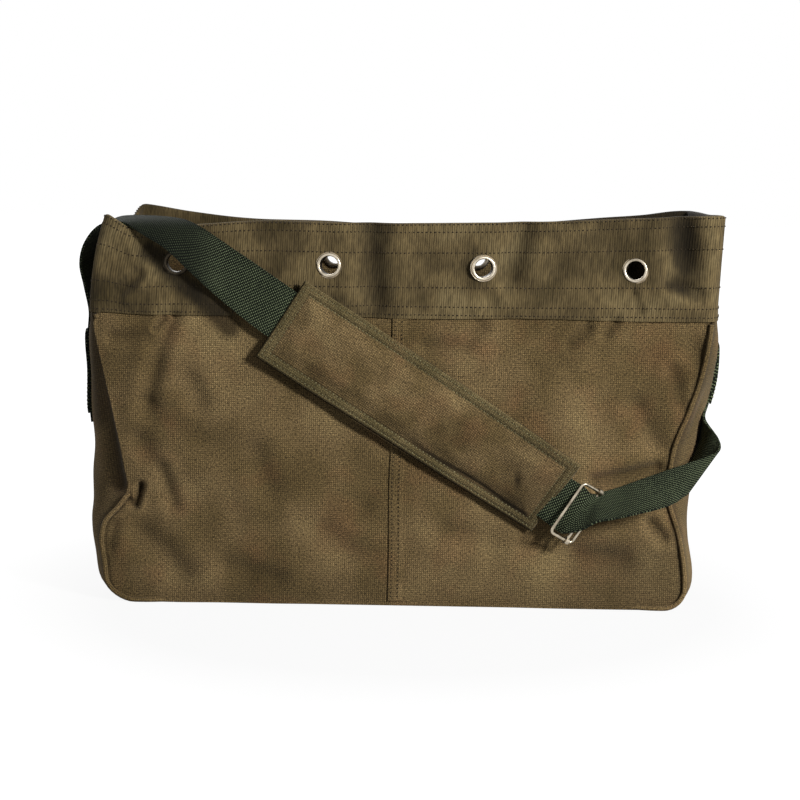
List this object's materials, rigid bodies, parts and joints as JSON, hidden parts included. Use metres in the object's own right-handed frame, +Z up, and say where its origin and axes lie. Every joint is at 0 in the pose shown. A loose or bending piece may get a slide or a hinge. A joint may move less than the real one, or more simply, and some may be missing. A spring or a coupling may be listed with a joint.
{
  "type": "messenger bag",
  "caption": "Open canvas messenger bag with a ribbed eyeleted mouth band, side gussets, felled centre seams, and a green webbing shoulder strap with a sliding pad and wire slide.",
  "frame": {"origin": "middle of the base's underside", "axes": "+X to the right as seen from the front, along the bag's width; the front faces -Y; +Z up"},
  "size_m": [0.4828, 0.1632, 0.2957],
  "materials": {
    "canvas": "washed olive-brown cotton canvas, plain weave, matt",
    "band_cloth": "washed olive-brown cloth with fine upright ribs, matt",
    "facing_cloth": "olive-brown canvas facing, matt",
    "webbing": "dark green woven webbing, matt with a slight sheen",
    "felt": "felt padding",
    "eyelet_metal": "pale worn nickel, satin",
    "wire_metal": "bent steel wire, satin"
  },
  "bodies": {
    "bag": {"front_panel_left": "canvas", "front_panel_right": "canvas", "front_fell": "canvas", "back_panel_left": "canvas", "back_panel_right": "canvas", "back_fell": "canvas", "gusset_left": "canvas", "gusset_right": "canvas", "gusset_base": "canvas", "welt_front": "canvas", "welt_back": "canvas", "band_front": "band_cloth", "band_back": "band_cloth", "band_left": "band_cloth", "band_right": "band_cloth", "facing_front": "facing_cloth", "facing_back": "facing_cloth", "facing_left": "facing_cloth", "facing_right": "facing_cloth", "hem_tape_front": "canvas", "hem_tape_back": "canvas", "eyelets_front": "eyelet_metal", "eyelets_back": "eyelet_metal", "washers_front": "eyelet_metal", "washers_back": "eyelet_metal", "strap_left": "webbing", "strap_right": "webbing", "strap_patch_left": "webbing", "strap_patch_right": "webbing"},
    "strap_loop": {"strap_front": "webbing", "strap_lower": "webbing"},
    "shoulder_pad": {"pad_cover": "canvas", "pad_core": "felt", "pad_lining": "canvas", "pad_sleeve": "canvas"},
    "wire_slide": {"slide_frame": "wire_metal"},
    "wire_bar": {"slide_bar": "wire_metal"}
  },
  "joints": [
    {"name": "strap_swing", "type": "hinge", "parent": "bag", "child": "strap_loop", "pos_m": [-0.158, -0.066, 0.298], "axis": [-0.8981, -0.0046, 0.4398], "range_deg": [0, 100]},
    {"name": "pad_slide", "type": "slide", "parent": "strap_loop", "child": "shoulder_pad", "axis": [-0.8395, 0.0523, 0.5408], "range_m": [0, 0.04]},
    {"name": "adjuster_slide", "type": "slide", "parent": "strap_loop", "child": "wire_slide", "axis": [-0.8395, 0.0523, 0.5408], "range_m": [0, 0.04]},
    {"name": "bar_slide", "type": "slide", "parent": "wire_slide", "child": "wire_bar", "axis": [-0.7738, -0.3908, 0.4985], "range_m": [0, 0.003]}
  ],
  "couplings": [
    {"joint": "adjuster_slide", "follows": "pad_slide", "ratio": 1}
  ]
}
